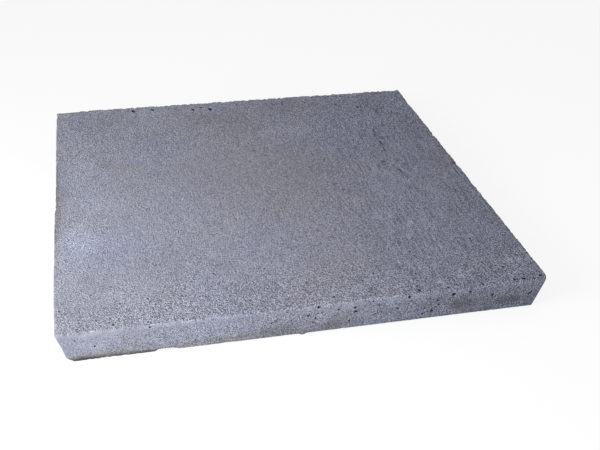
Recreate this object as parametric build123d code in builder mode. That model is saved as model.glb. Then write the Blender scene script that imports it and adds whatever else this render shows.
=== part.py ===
"""Precast concrete equipment pad: one cast slab with drafted sides, rolled top edges and a few broken arrises.

Frame: origin at the middle of the underside, +X to the right along the front edge, +Y to the back, +Z up.
Lengths are in millimetres and angles in degrees.
"""

import os
from math import cos, radians, sin, tan
from typing import NamedTuple

from build123d import *

# Driving dimensions
pad_width = 812.8  # overall, left to right, across the widest level of the rolled edges
pad_depth = 812.8  # overall, front to back
pad_thickness = 66.675
side_draft = 14.0  # lean of each side, in towards the underside
roll_radius = 9.0  # rolled edge at the top of each side
roll_end_angle = 38.0  # how far up from level the roll has turned where the top face cuts it off
crease_radius = 2.0  # eases the line where the roll meets the top face
corner_radius = 4.0  # upright corners, but for the front right one
front_right_corner_radius = 7.0
bottom_arris_radius = 3.0  # edge that the mould floor left round the underside


class EdgeBreak(NamedTuple):
    """One scalloped break in an arris, as concrete spalls when an edge is knocked."""

    from_corner: float  # along the edge, from the corner that the break is nearest to
    length: float  # along the edge, across the finished arris
    depth: float  # below the finished arris


# Broken edges, each on the edge that it is named for
front_bottom_break = EdgeBreak(from_corner=148.0, length=18.0, depth=5.0)  # from the left corner
front_bottom_run_out = EdgeBreak(from_corner=164.0, length=40.0, depth=3.5)  # from the left corner
left_top_break = EdgeBreak(from_corner=27.0, length=30.0, depth=3.5)  # from the back corner
back_top_break = EdgeBreak(from_corner=16.0, length=24.0, depth=3.0)  # from the right corner
right_top_break = EdgeBreak(from_corner=245.0, length=26.0, depth=2.5)  # from the back corner
corner_break_length = 27.0  # front left corner of the underside
corner_break_depth = 5.0

# Sizes that follow from the driving dimensions; insets are measured in from the widest level
lean = radians(side_draft)
roll_end = radians(roll_end_angle)
widest_height = pad_thickness - roll_radius * sin(roll_end)
tangent_height = widest_height - roll_radius * sin(lean)
tangent_inset = roll_radius * (1 - cos(lean))
crease_inset = roll_radius * (1 - cos(roll_end))
foot_inset = tangent_inset + tangent_height * tan(lean)
half_width = pad_width / 2
half_depth = pad_depth / 2
half_foot_width = half_width - foot_inset
half_foot_depth = half_depth - foot_inset

# Outward directions of the slab's faces
DOWN = Vector(0, 0, -1)
LEFT = Vector(-cos(lean), 0, -sin(lean))
FRONT = Vector(0, -cos(lean), -sin(lean))


def rolled_section(half: float) -> Sketch:
    """Upright section of the slab: flat underside, drafted sides, a roll up each edge and a flat top."""
    tangent, widest, crease = half - tangent_inset, half, half - crease_inset
    foot = half - foot_inset
    sides = Polyline((tangent, tangent_height), (foot, 0), (-foot, 0), (-tangent, tangent_height))
    right_roll = ThreePointArc((tangent, tangent_height), (widest, widest_height), (crease, pad_thickness))
    left_roll = ThreePointArc((-tangent, tangent_height), (-widest, widest_height), (-crease, pad_thickness))
    top = Line((crease, pad_thickness), (-crease, pad_thickness))
    return make_face([*sides.edges(), *right_roll.edges(), *left_roll.edges(), *top.edges()])


def arris_middle(sharp_point: Vector, face_a: Vector, face_b: Vector, radius: float) -> tuple[Vector, Vector]:
    """Middle of the rounded arris between two faces, and the direction in which it points."""
    outward = (face_a + face_b).normalized()
    setback = radius / outward.dot(face_a) - radius
    return sharp_point - outward * setback, outward


def roll_outward(level: Vector) -> Vector:
    """Direction in which the roll points where the top face cuts it off, on the side that faces this way."""
    return level * cos(roll_end) + Vector(0, 0, sin(roll_end))


def scallop_radius(length: float, depth: float) -> float:
    """Radius of the ball that leaves a scallop of this length and depth in a straight edge."""
    return (length**2 / 4 + depth**2) / (2 * depth)


def cut_scallop(arris: Vector, outward: Vector, length: float, depth: float) -> None:
    """Cuts one scallop into the slab that is being built."""
    radius = scallop_radius(length, depth)
    with Locations(arris + outward * (radius - depth)):
        Sphere(radius, mode=Mode.SUBTRACT)


# The slab as it left the mould: its two upright sections run through each other, then the corners are eased
width_section = rolled_section(half_width)
depth_section = rolled_section(half_depth)
with BuildPart() as pad_slab:
    with BuildSketch(Plane.XZ):
        add(width_section)
    extrude(amount=half_depth, both=True)
    with BuildSketch(Plane.YZ):
        add(depth_section)
    extrude(amount=half_width, both=True, mode=Mode.INTERSECT)
    upright_edges = pad_slab.edges().filter_by(lambda edge: edge.bounding_box().size.Z > 1)
    front_right_edges = upright_edges.filter_by(lambda edge: edge.center().X > 0 > edge.center().Y)
    other_edges = upright_edges.filter_by(lambda edge: edge.center().X < 0 or edge.center().Y > 0)
    fillet(front_right_edges, front_right_corner_radius)
    fillet(other_edges, corner_radius)
    fillet(pad_slab.faces().sort_by(Axis.Z)[-1].edges(), crease_radius)
    fillet(pad_slab.faces().sort_by(Axis.Z)[0].edges(), bottom_arris_radius)

    # Breaks in the front bottom edge, on the sharp edge that the mould floor eased
    for edge_break in (front_bottom_break, front_bottom_run_out):
        sharp_point = Vector(edge_break.from_corner - half_foot_width, -half_foot_depth, 0)
        arris, outward = arris_middle(sharp_point, FRONT, DOWN, bottom_arris_radius)
        cut_scallop(arris, outward, edge_break.length, edge_break.depth)

    # Breaks in the top edges: the place of each where the roll meets the top face, and the way its side faces
    top_breaks = [
        (
            left_top_break,
            Vector(-half_width + crease_inset, half_depth - left_top_break.from_corner, pad_thickness),
            Vector(-1, 0, 0),
        ),
        (
            back_top_break,
            Vector(half_width - back_top_break.from_corner, half_depth - crease_inset, pad_thickness),
            Vector(0, 1, 0),
        ),
        (
            right_top_break,
            Vector(half_width - crease_inset, half_depth - right_top_break.from_corner, pad_thickness),
            Vector(1, 0, 0),
        ),
    ]
    for edge_break, crease, level in top_breaks:
        cut_scallop(crease, roll_outward(level), edge_break.length, edge_break.depth)

    # Break at the front left corner of the underside, where the upright corner meets the bottom arris
    sharp_corner = Vector(-half_foot_width, -half_foot_depth, 0)
    upright_edge, corner_outward = arris_middle(sharp_corner, FRONT, LEFT, corner_radius)
    corner_arris, corner_direction = arris_middle(upright_edge, corner_outward, DOWN, bottom_arris_radius)
    cut_scallop(corner_arris, corner_direction, corner_break_length, corner_break_depth)

pad_slab.part.label = "pad_slab"
os.makedirs("parts", exist_ok=True)
export_step(pad_slab.part, "parts/pad_slab.step")
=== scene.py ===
"""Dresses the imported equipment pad: a cast concrete slab with a rubbed top, worn arrises and blow-holes.

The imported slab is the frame. Lengths are in metres, with +X to the right along the front edge, +Y to the
back and +Z up, and the origin is the middle of the underside.
"""

from __future__ import annotations

import logging
import math
from dataclasses import dataclass, field
from enum import Enum
from typing import Callable, Mapping, NamedTuple, Sequence, Union

import bmesh
import bpy
import numpy as np
from mathutils import Matrix, Vector

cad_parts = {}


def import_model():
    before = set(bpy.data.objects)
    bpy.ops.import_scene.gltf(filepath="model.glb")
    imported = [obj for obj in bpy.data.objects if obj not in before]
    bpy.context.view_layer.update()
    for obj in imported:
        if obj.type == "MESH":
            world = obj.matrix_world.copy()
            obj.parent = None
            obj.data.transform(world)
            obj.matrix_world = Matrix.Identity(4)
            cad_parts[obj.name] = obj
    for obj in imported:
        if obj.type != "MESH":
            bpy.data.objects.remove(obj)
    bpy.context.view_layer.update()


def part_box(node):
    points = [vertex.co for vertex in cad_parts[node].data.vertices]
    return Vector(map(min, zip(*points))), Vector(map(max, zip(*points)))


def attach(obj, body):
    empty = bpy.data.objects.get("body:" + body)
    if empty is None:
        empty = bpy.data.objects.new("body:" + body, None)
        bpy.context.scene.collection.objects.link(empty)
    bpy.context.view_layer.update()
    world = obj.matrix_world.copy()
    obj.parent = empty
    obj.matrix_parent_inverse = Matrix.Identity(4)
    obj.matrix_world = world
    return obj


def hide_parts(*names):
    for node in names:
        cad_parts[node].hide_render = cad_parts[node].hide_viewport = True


LOG = logging.getLogger("equipment_pad")
MM = 0.001
NODE = "pad_slab"
BODY = "root"

Points = np.ndarray
Values = np.ndarray
Mask = np.ndarray
Colour = tuple[float, float, float]
Place = tuple[float, float, float]
Span = tuple[float, float]
Face = tuple[int, ...]
UP = np.array([0.0, 0.0, 1.0])


def smooth_step(values: Values, low: float, high: float) -> Values:
    """Eases from 0 at low to 1 at high.

    Args:
        values: The numbers to ease.
        low: Where the result starts to leave 0.
        high: Where the result reaches 1.

    Returns:
        One number between 0 and 1 for each value.
    """
    share = np.clip((values - low) / (high - low), 0.0, 1.0)
    return share * share * (3.0 - 2.0 * share)


class Noise:
    """Seeded smooth noise in three dimensions, between about -1 and 1."""

    TABLE = 256
    GAIN = 1.6
    LAYER_SHIFT = 7.3

    def __init__(self, seed: int) -> None:
        """Draws the lattice's slopes.

        Args:
            seed: Seed of the draws.
        """
        draw = np.random.default_rng(seed)
        slopes = draw.normal(size=(self.TABLE, 3))
        self._slopes = slopes / np.linalg.norm(slopes, axis=1, keepdims=True)
        self._order = draw.permutation(self.TABLE)

    def sample(self, points: Points, size: float) -> Values:
        """Reads the noise at some points.

        Args:
            points: Places in metres, one row each.
            size: Width of one cell of the lattice in metres.

        Returns:
            One number for each point.
        """
        cells = points / size
        base = np.floor(cells).astype(int)
        part = cells - base
        fade = part**3 * (part * (part * 6.0 - 15.0) + 10.0)
        total = np.zeros(len(points))
        for corner in np.ndindex(2, 2, 2):
            key = np.zeros(len(points), dtype=int)
            for axis in range(3):
                key = self._order[(key + base[:, axis] + corner[axis]) % self.TABLE]
            weight = np.prod(np.where(corner, fade, 1.0 - fade), axis=1)
            total += weight * np.einsum("ij,ij->i", self._slopes[key], part - corner)
        return total * self.GAIN

    def layered(self, points: Points, size: float, layers: int = 3) -> Values:
        """Adds finer and fainter layers of the noise.

        Args:
            points: Places in metres, one row each.
            size: Cell width of the coarsest layer in metres.
            layers: How many layers, each half the size and strength of the last.

        Returns:
            One number for each point, between about -1 and 1.
        """
        shifted = [points + self.LAYER_SHIFT * step for step in range(layers)]
        parts = [self.sample(moved, size / 2**step) / 2**step for step, moved in enumerate(shifted)]
        return sum(parts) / (2.0 - 0.5 ** (layers - 1))


class Side(Enum):
    """An upright side of the slab, with its outward direction."""

    FRONT = (0, -1)
    RIGHT = (1, 0)
    BACK = (0, 1)
    LEFT = (-1, 0)

    @property
    def outward(self) -> np.ndarray:
        """Level direction that points out of the side."""
        return np.array([*self.value, 0.0])

    @property
    def along(self) -> np.ndarray:
        """Level direction along the side, anticlockwise as seen from above."""
        return np.array([-self.value[1], self.value[0], 0.0])


class Edge(Enum):
    """Top or bottom arris of a side."""

    TOP = "top"
    BOTTOM = "bottom"


@dataclass(frozen=True)
class EdgeBreak:
    """A scalloped break in an arris: place along the edge, length and depth."""

    side: Side
    edge: Edge
    at: float
    length: float
    depth: float


@dataclass(frozen=True)
class SidePit:
    """A blow-hole in an upright side: place along the side, height, radius and shape."""

    side: Side
    at: float
    height: float
    radius: float
    stretch: float = 1.0
    slant: float = 0.0


@dataclass(frozen=True)
class Tear:
    """A thin tear that the float dragged open in the top face: its path, width and depth."""

    path: tuple[Span, ...]
    width: float
    depth: float


@dataclass(frozen=True)
class Crumble:
    """A stretch of an arris that small nicks have roughened: where, how many, and their sizes."""

    side: Side
    edge: Edge
    stretch: Span
    count: int
    lengths: Span
    depths: Span


# Crumbled stretches: from and to along the edge, nicks, and their lengths and depths in millimetres
CRUMBLES = (
    Crumble(Side.FRONT, Edge.TOP, (-395, 395), 14, (4, 10), (0.4, 1.0)),
    Crumble(Side.RIGHT, Edge.TOP, (-380, 395), 70, (4, 12), (0.8, 2.8)),
    Crumble(Side.BACK, Edge.TOP, (-400, 400), 110, (4, 11), (0.8, 3.0)),
    Crumble(Side.LEFT, Edge.TOP, (-90, 180), 34, (4, 11), (0.9, 2.4)),
    Crumble(Side.LEFT, Edge.TOP, (180, 400), 22, (4, 9), (0.6, 1.8)),
    Crumble(Side.LEFT, Edge.TOP, (-400, -90), 16, (3, 7), (0.4, 1.0)),
    Crumble(Side.FRONT, Edge.BOTTOM, (-388, -300), 16, (3, 9), (0.6, 1.8)),
    Crumble(Side.FRONT, Edge.BOTTOM, (-300, 380), 12, (4, 10), (0.4, 1.2)),
    Crumble(Side.RIGHT, Edge.BOTTOM, (-380, 380), 12, (4, 12), (0.5, 1.4)),
    Crumble(Side.BACK, Edge.BOTTOM, (-380, 380), 12, (4, 12), (0.5, 1.4)),
    Crumble(Side.LEFT, Edge.BOTTOM, (-380, 380), 12, (4, 12), (0.5, 1.4)),
)


class StainKind(Enum):
    """What tints the surface; each value is the name of the mesh's mask for it."""

    # Damp patches, and the painted shade inside the tears
    DAMP = "damp"
    EARTH = "earth"
    PALE = "pale"
    # Thin dark lines along the foot of the front and along the top of the left side
    SOIL = "soil"


@dataclass(frozen=True)
class Stain:
    """A cloudy patch of tint: its middle, its reach along each axis and its strength."""

    kind: StainKind
    middle: Place
    reach: Place
    strength: float


class Ball(NamedTuple):
    """A ball that takes a scallop out of the surface."""

    centre: np.ndarray
    radius: float


class Hole(NamedTuple):
    """A hole in the surface: its middle, its outward and crosswise directions and its sizes."""

    middle: np.ndarray
    outward: np.ndarray
    across: np.ndarray
    radius: float
    stretch: float


class ProfileRow(NamedTuple):
    """One level of the slab's rim: inset from the widest level, height and run down from the crease."""

    inset: float
    height: float
    run: float


# Blow-holes that can be told apart on the front face: place along it, height and radius in millimetres
FRONT_PITS = (
    (-347, 32, 2.0),
    (-262, 62, 1.6),
    (-70, 37, 1.9),
    (-63, 41, 1.6),
    (-46, 59, 1.6),
    (-38, 36, 1.5),
    (-10, 45, 2.6),
    (0, 25, 2.0),
    (2, 35, 1.6),
    (5, 62, 2.3),
    (6, 47, 1.8),
    (12, 48, 1.5),
    (40, 51, 2.0),
    (61, 19, 2.1),
    (67, 51, 2.5),
    (69, 41, 2.5),
    (96, 61, 1.6),
    (103, 28, 1.8),
    (108, 51, 1.9),
    (142, 36, 2.5),
    (158, 61, 2.5),
    (163, 52, 1.5),
    (189, 14, 2.2),
    (190, 27, 1.8),
    (204, 19, 2.6),
    (210, 44, 2.1),
    (214, 33, 2.0),
    (236, 55, 3.5),
    (265, 57, 2.3),
    (308, 42, 2.4),
)

# A longer pit that slants up near the front right corner
SLANTED_PIT = SidePit(Side.FRONT, 379 * MM, 36 * MM, 2.0 * MM, 2.2, math.radians(55))

# Pits in the top face: right, back and size in millimetres; the float drew each out along its way
TOP_PITS = (
    (-235, 384, 4.4),
    (-192, 385, 3.6),
    (-101, 370, 3.8),
    (-82, 379, 3.0),
    (-62, 367, 4.6),
    (70, 376, 2.4),
    (136, 78, 2.2),
    (278, 323, 2.4),
    (398, 16, 2.8),
    (-397, -346, 1.4),
    (-370, -396, 1.5),
    (-320, -377, 1.4),
    (-316, -395, 1.8),
    (-303, -343, 1.5),
    (-259, -338, 1.6),
    (-229, -311, 1.4),
    (-205, -340, 1.5),
    (-167, -350, 1.3),
    (-146, -289, 1.5),
    (34, -389, 1.9),
    (93, -354, 1.9),
    (94, -386, 1.9),
    (117, -338, 1.6),
    (177, -398, 2.7),
    (187, -352, 1.9),
    (199, -285, 1.8),
    (227, -399, 2.3),
    (288, -401, 1.8),
    (320, -265, 1.9),
    (342, -359, 2.1),
    (346, -398, 2.5),
    (362, -398, 2.7),
    (377, -315, 2.1),
    (380, -329, 2.0),
    (394, -396, 2.2),
)

PIT_WIDTH = 0.8  # radius of a top pit across the float's way, as a share of its size
PIT_STRETCH = 1.8  # how much longer than wide a top pit is
PIT_WAY = np.array([0.3, -0.95, 0.0])

# Tears in the top face: paths, widths and depths in millimetres
TEARS = (
    Tear(((278, 320), (297, 336), (317, 299), (318, 271)), 3.2, 1.4),
    Tear(((311, 236), (309, 214)), 3.2, 1.4),
    Tear(((282, 201), (272, 160), (279, 146), (277, 114), (275, 75)), 4.0, 2.2),
    Tear(((251, 45), (268, 57), (272, 30), (278, 7), (285, -27)), 3.2, 1.6),
    Tear(((295, 33), (304, 17)), 2.8, 1.2),
    Tear(((352, -76), (362, -96), (370, -126)), 3.0, 1.2),
)

# Clouds in the top face: right, back and their reaches in millimetres, then strength, dark below nought
TOP_CLOUDS = (
    (-320, 310, 60, 60, -0.14),
    (-212, 246, 40, 35, -0.16),
    (-200, 363, 48, 26, 0.34),
    (-75, 315, 62, 34, -0.24),
    (0, 306, 40, 28, -0.14),
    (102, 356, 60, 26, -0.26),
    (197, 340, 50, 24, -0.14),
    (312, 317, 40, 50, -0.20),
    (276, 130, 22, 75, -0.14),
    (376, 207, 24, 70, -0.24),
    (391, 22, 14, 60, -0.14),
    (371, -126, 20, 60, -0.22),
    (388, -198, 16, 50, -0.24),
    (393, -256, 12, 40, -0.15),
    (93, 229, 95, 32, 0.26),
    (218, 4, 34, 40, 0.28),
    (325, -102, 22, 50, 0.14),
    (195, -155, 30, 26, 0.36),
    (235, -105, 55, 65, 0.22),
    (115, -162, 75, 14, 0.24),
    (247, -205, 34, 34, 0.28),
    (64, -379, 40, 18, 0.22),
    (-357, 115, 30, 55, 0.38),
    (-333, -18, 32, 45, 0.34),
    (-294, -40, 26, 36, 0.24),
    (-362, -144, 35, 50, 0.52),
    (-303, 136, 22, 32, -0.22),
    (-396, 27, 14, 55, -0.36),
    (-402, 126, 10, 60, -0.22),
    (-402, -100, 9, 45, -0.28),
    (-249, -219, 30, 24, -0.16),
    (-130, -269, 22, 26, -0.22),
    (-386, -326, 22, 40, -0.16),
    (-341, -271, 30, 34, -0.26),
    (-112, -346, 26, 24, -0.12),
    (-297, -204, 26, 22, -0.10),
    (-279, -322, 38, 32, 0.24),
    (-235, -250, 90, 85, -0.13),
    (290, 10, 60, 140, 0.14),
)

# Clouds in the front face: along it, height and their reaches in millimetres, then strength
FRONT_CLOUDS = (
    (-366, 55, 30, 12, 0.25),
    (-320, 46, 28, 18, 0.55),
    (-304, 8, 32, 11, -0.34),
    (-152, 14, 26, 9, -0.30),
    (-56, 18, 52, 24, -0.48),
    (2, 27, 26, 14, -0.22),
    (152, 36, 26, 20, 0.22),
    (222, 13, 22, 11, 0.22),
    (-11, 9, 22, 9, -0.50),
    (33, 15, 28, 14, -0.60),
    (59, 41, 16, 11, -0.16),
    (62, 16, 26, 14, -0.20),
    (105, 50, 24, 9, 0.20),
    (250, 46, 16, 8, 0.30),
    (302, 46, 22, 14, -0.20),
    (352, 46, 30, 22, -0.20),
    (386, 48, 22, 22, -0.22),
    (123, 14, 20, 12, 0.42),
    (205, 46, 18, 13, -0.22),
    (258, 30, 28, 18, -0.85),
    (290, 26, 46, 20, -0.45),
    (292, 10, 42, 12, -0.50),
    (336, 24, 34, 15, -0.80),
    (388, 25, 20, 24, -0.55),
)

# Patches of dirt and thin dark lines: middle and reach in metres, then strength
DIRT = (
    Stain(StainKind.DAMP, (-0.404, -0.068, 0.065), (0.010, 0.085, 0.020), 0.45),
    Stain(StainKind.EARTH, (-0.345, -0.392, 0.006), (0.075, 0.020, 0.012), 0.80),
    Stain(StainKind.EARTH, (-0.404, -0.053, 0.063), (0.010, 0.100, 0.020), 0.60),
    Stain(StainKind.EARTH, (-0.265, 0.107, 0.067), (0.040, 0.025, 0.020), 0.30),
    Stain(StainKind.EARTH, (-0.009, 0.273, 0.067), (0.090, 0.070, 0.020), 0.40),
    Stain(StainKind.EARTH, (0.010, 0.027, 0.067), (0.170, 0.150, 0.020), 0.30),
    Stain(StainKind.EARTH, (-0.150, -0.392, 0.006), (0.200, 0.020, 0.018), 0.50),
    Stain(StainKind.EARTH, (0.404, 0.330, 0.065), (0.006, 0.060, 0.010), 0.80),
    Stain(StainKind.EARTH, (-0.350, 0.402, 0.065), (0.060, 0.008, 0.010), 0.80),
    # Thin dark lines along the foot of the front and along the top of the left side
    Stain(StainKind.SOIL, (-0.358, -0.392, 0.003), (0.046, 0.020, 0.008), 1.00),
    Stain(StainKind.SOIL, (-0.285, -0.392, 0.003), (0.050, 0.020, 0.006), 0.90),
    Stain(StainKind.SOIL, (-0.016, -0.394, 0.000), (0.014, 0.020, 0.006), 0.50),
    Stain(StainKind.SOIL, (-0.406, 0.070, 0.066), (0.005, 0.170, 0.004), 0.60),
    Stain(StainKind.SOIL, (-0.406, -0.200, 0.066), (0.004, 0.120, 0.004), 0.45),
)


# Where the clouds' faces are, and how far into the slab a cloud goes, in millimetres
TOP_LEVEL = 66
FRONT_AT_TOP = -404
FRONT_LEAN = 0.2
CLOUD_DEPTH = 20


def cloud(middle: Place, reach: Place, strength: float) -> Stain:
    """Makes the stain of one cloud.

    Args:
        middle: Its middle in millimetres.
        reach: Its reach along each axis in millimetres.
        strength: How strong it is, dark below nought.

    Returns:
        The stain.
    """
    kind = StainKind.DAMP if strength < 0 else StainKind.PALE
    right, back, up = (place * MM for place in middle)
    wide, deep, high = (length * MM for length in reach)
    return Stain(kind, (right, back, up), (wide, deep, high), abs(strength))


def top_cloud(right: float, back: float, wide: float, deep: float, strength: float) -> Stain:
    """Makes the stain of one row of the top face's clouds."""
    return cloud((right, back, TOP_LEVEL), (wide, deep, CLOUD_DEPTH), strength)


def front_cloud(along: float, height: float, wide: float, high: float, strength: float) -> Stain:
    """Makes the stain of one row of the front face's clouds."""
    back = FRONT_AT_TOP + (TOP_LEVEL - height) * FRONT_LEAN
    return cloud((along, back, height), (wide, CLOUD_DEPTH, high), strength)


STAINS = (
    *DIRT,
    *(top_cloud(*row) for row in TOP_CLOUDS),
    *(front_cloud(*row) for row in FRONT_CLOUDS),
)


@dataclass
class PadSlab:
    """The cast slab: its form, its relief and its finish."""

    low: Vector
    high: Vector
    seed: int = 32

    # Form: the left side has a plain arris, and the corners run from the front right one
    draft: float = math.radians(14.0)
    roll_radius: float = 9 * MM
    roll_end: float = math.radians(38.0)
    crease_radius: float = 2 * MM
    foot_radius: float = 3 * MM
    left_arris_drop: float = 2.4 * MM
    arris_setback: float = 0.3
    top_corner_radii: tuple[float, ...] = (16 * MM, 3 * MM, 2 * MM, 4 * MM)
    foot_corner_radii: tuple[float, ...] = (1.5 * MM, 4 * MM, 4 * MM, 4 * MM)

    # Mesh: cells, columns and rows, and the zones that are divided again
    top_cells: int = 160
    columns_per_cell: int = 2
    columns_per_foot_cell: int = 8
    corner_columns: int = 6
    grid_margin: float = 4 * MM
    crease_rows: int = 3
    roll_rows: int = 5
    side_rows: int = 15
    foot_rows: int = 3
    top_skin: float = 1 * MM
    fine_strip: float = 70 * MM
    tear_margin: float = 5 * MM
    pit_margin: float = 4 * MM
    hole_margin: float = 1 * MM

    # Wear: depths and sizes of the general relief, and how far and where the left side is rubbed in
    wave_depth: float = 0.2 * MM
    wave_size: float = 140 * MM
    grain_depth: float = 0.03 * MM
    grain_size: float = 9 * MM
    grain_start: Span = (2 * MM, 8 * MM)
    front_grain: Span = (120 * MM, 20 * MM)
    arris_wear: float = 2.2 * MM
    arris_run: float = 1 * MM
    arris_reach: Span = (8 * MM, 3 * MM)
    front_arris: Span = (25 * MM, 12 * MM)
    front_spared: float = 0.6
    ragged_size: float = 30 * MM
    ragged_share: float = 1.2
    crumb_size: float = 7 * MM
    crumb_share: float = 1.5
    unworn_share: float = 0.7
    foot_wear: float = 0.5 * MM
    foot_run: float = -2 * MM
    foot_reach: Span = (7 * MM, 2 * MM)
    underside: Span = (4 * MM, 20 * MM)
    left_rub: float = 1.5 * MM
    left_rub_start: Span = (-42 * MM, -24 * MM)
    left_rub_fade: Span = (110 * MM, 170 * MM)
    left_rub_faded: float = 0.4
    front_end: Span = (300 * MM, 395 * MM)
    front_end_heights: Span = (8 * MM, 45 * MM)
    front_end_rubs: Span = (-1.0 * MM, 1.5 * MM)
    left_zone: Span = (40 * MM, 16 * MM)

    # Blow-holes that are scattered: small specks on the front and larger holes on the other sides
    hole_end_margin: float = 28 * MM
    lowest_hole: float = 8 * MM
    front_specks: int = 14
    speck_radii: Span = (0.8 * MM, 1.3 * MM)
    side_holes: int = 26
    side_hole_radii: Span = (0.9 * MM, 2.4 * MM)

    # Shape of a blow-hole, of the painted shade inside it and of the painted highlight on its rim, in shares
    # of the radius
    hole_depth: float = 1.5
    hole_edge: Span = (1.2, 0.9)
    hole_uneven: float = 0.18
    hole_grain: float = 2.5 * MM
    rim_at: float = 1.5
    rim_fade: Span = (0.5, 0.1)
    rim_highlight_strength: float = 0.5
    rim_margin: float = 1 * MM

    # Tears: where they close, how ragged they are, and how dark the painted shade inside them is
    tear_patch: float = 17 * MM
    tear_crumb: float = 6 * MM
    tear_crumb_share: float = 0.6
    tear_gaps: Span = (-0.35, 0.15)
    tear_ragged: float = 1.2
    tear_ragged_size: float = 9 * MM
    tear_floor: float = 0.2
    tear_shade: float = 0.8

    # Clouds of tint: how ragged they are, and the shares of the reach over which they fade
    cloud_ragged: float = 0.45
    cloud_size: float = 28 * MM
    cloud_edge: Span = (0.25, 1.35)

    # Breaks, nicks and the lump at the foot of the front
    breaks: tuple[EdgeBreak, ...] = (
        EdgeBreak(Side.FRONT, Edge.BOTTOM, -246 * MM, 20 * MM, 5 * MM),
        EdgeBreak(Side.FRONT, Edge.BOTTOM, -233 * MM, 32 * MM, 3.5 * MM),
        EdgeBreak(Side.LEFT, Edge.TOP, 385 * MM, 24 * MM, 5 * MM),
        EdgeBreak(Side.BACK, Edge.TOP, 390.4 * MM, 24 * MM, 3 * MM),
        EdgeBreak(Side.BACK, Edge.TOP, -388 * MM, 84 * MM, 4.5 * MM),
        EdgeBreak(Side.RIGHT, Edge.TOP, 326 * MM, 34 * MM, 2.5 * MM),
        EdgeBreak(Side.RIGHT, Edge.TOP, 308 * MM, 11 * MM, 3.2 * MM),
        EdgeBreak(Side.RIGHT, Edge.TOP, 244 * MM, 12 * MM, 3 * MM),
        EdgeBreak(Side.RIGHT, Edge.TOP, 156 * MM, 18 * MM, 4.5 * MM),
        EdgeBreak(Side.RIGHT, Edge.TOP, 63 * MM, 11 * MM, 3 * MM),
        EdgeBreak(Side.RIGHT, Edge.TOP, 15 * MM, 12 * MM, 3.5 * MM),
        EdgeBreak(Side.RIGHT, Edge.TOP, -67 * MM, 12 * MM, 3 * MM),
    )
    lump_at: float = -16 * MM
    lump_reach: float = 5 * MM
    lump_height: float = 2.4 * MM
    lump_top: Span = (9 * MM, 2 * MM)
    lump_back: float = 2 * MM
    lump_uneven: float = 0.5
    lump_grain: float = 5 * MM
    corner_break_length: float = 27 * MM
    corner_break_depth: float = 5 * MM
    nick_skew: float = 0.2
    nick_tilt: float = 0.5
    break_rough: float = 0.4
    break_rough_depth: float = 1.5 * MM
    break_seen: Span = (0.2 * MM, 1.2 * MM)

    # What follows from the frame, and the piece that is made
    half: np.ndarray = field(init=False)
    middle: np.ndarray = field(init=False)
    thickness: float = field(init=False)
    noise: Noise = field(init=False)
    rows: list[ProfileRow] = field(init=False)
    piece: bpy.types.Object = field(init=False)

    def __post_init__(self) -> None:
        """Works out the sizes that follow from the frame."""
        self.half = np.array([(self.high.x - self.low.x) / 2, (self.high.y - self.low.y) / 2])
        self.middle = np.array([(self.high.x + self.low.x) / 2, (self.high.y + self.low.y) / 2])
        self.thickness = self.high.z - self.low.z
        self.noise = Noise(self.seed)
        self.rows = self._profile()

    def _profile(self) -> list[ProfileRow]:
        """Runs down the rim from the flat of the top face, over the roll and the side, to the underside.

        Returns:
            One row for each level of the mesh.
        """
        lean = self.draft
        widest = self.thickness - self.roll_radius * math.sin(self.roll_end)
        rise = self.thickness - self.crease_radius - widest
        crease_turn = math.asin(rise / (self.roll_radius - self.crease_radius))
        crease_inset = self.roll_radius - (self.roll_radius - self.crease_radius) * math.cos(crease_turn)
        points: list[tuple[float, float]] = []
        for turn in np.linspace(math.pi / 2, crease_turn, self.crease_rows + 1)[:-1]:
            inset = crease_inset - self.crease_radius * math.cos(turn)
            points.append((inset, self.thickness - self.crease_radius * (1 - math.sin(turn))))
        for turn in np.linspace(crease_turn, -lean, self.roll_rows + 1):
            inset = self.roll_radius * (1 - math.cos(turn))
            points.append((inset, widest + self.roll_radius * math.sin(turn)))
        start_inset, start_height = points[-1]
        foot_inset = start_inset + start_height * math.tan(lean)
        foot_centre = foot_inset + self.foot_radius * (1 - math.sin(lean)) / math.cos(lean)
        foot_points = [
            (foot_centre - self.foot_radius * math.cos(turn), self.foot_radius * (1 + math.sin(turn)))
            for turn in np.linspace(-lean, -math.pi / 2, self.foot_rows + 1)
        ]
        for share in np.linspace(0, 1, self.side_rows + 1)[1:-1]:
            inset = start_inset + (foot_points[0][0] - start_inset) * share
            height = start_height + (foot_points[0][1] - start_height) * share
            points.append((inset, height))
        points += foot_points
        steps = [math.dist(first, second) for first, second in zip(points, points[1:])]
        runs = np.concatenate([[0.0], np.cumsum(steps)]) - sum(steps[: self.crease_rows])
        return [ProfileRow(inset, height, float(run)) for (inset, height), run in zip(points, runs)]

    def _inset(self, side: Side, row: ProfileRow) -> float:
        """Inset of one side at a level; the left side has a plain arris in place of the roll.

        Args:
            side: The side.
            row: The level.

        Returns:
            How far in from the widest level the side is.
        """
        if side is not Side.LEFT:
            return row.inset
        widest = self.thickness - self.left_arris_drop
        if row.height > widest:
            rise = (row.height - widest) / self.left_arris_drop
            return self.rows[0].inset * (1 - math.sqrt(max(0.0, 1 - rise**2)))
        return min(self.rows[-1].inset * (widest - row.height) / widest, max(r.inset for r in self.rows))

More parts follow.
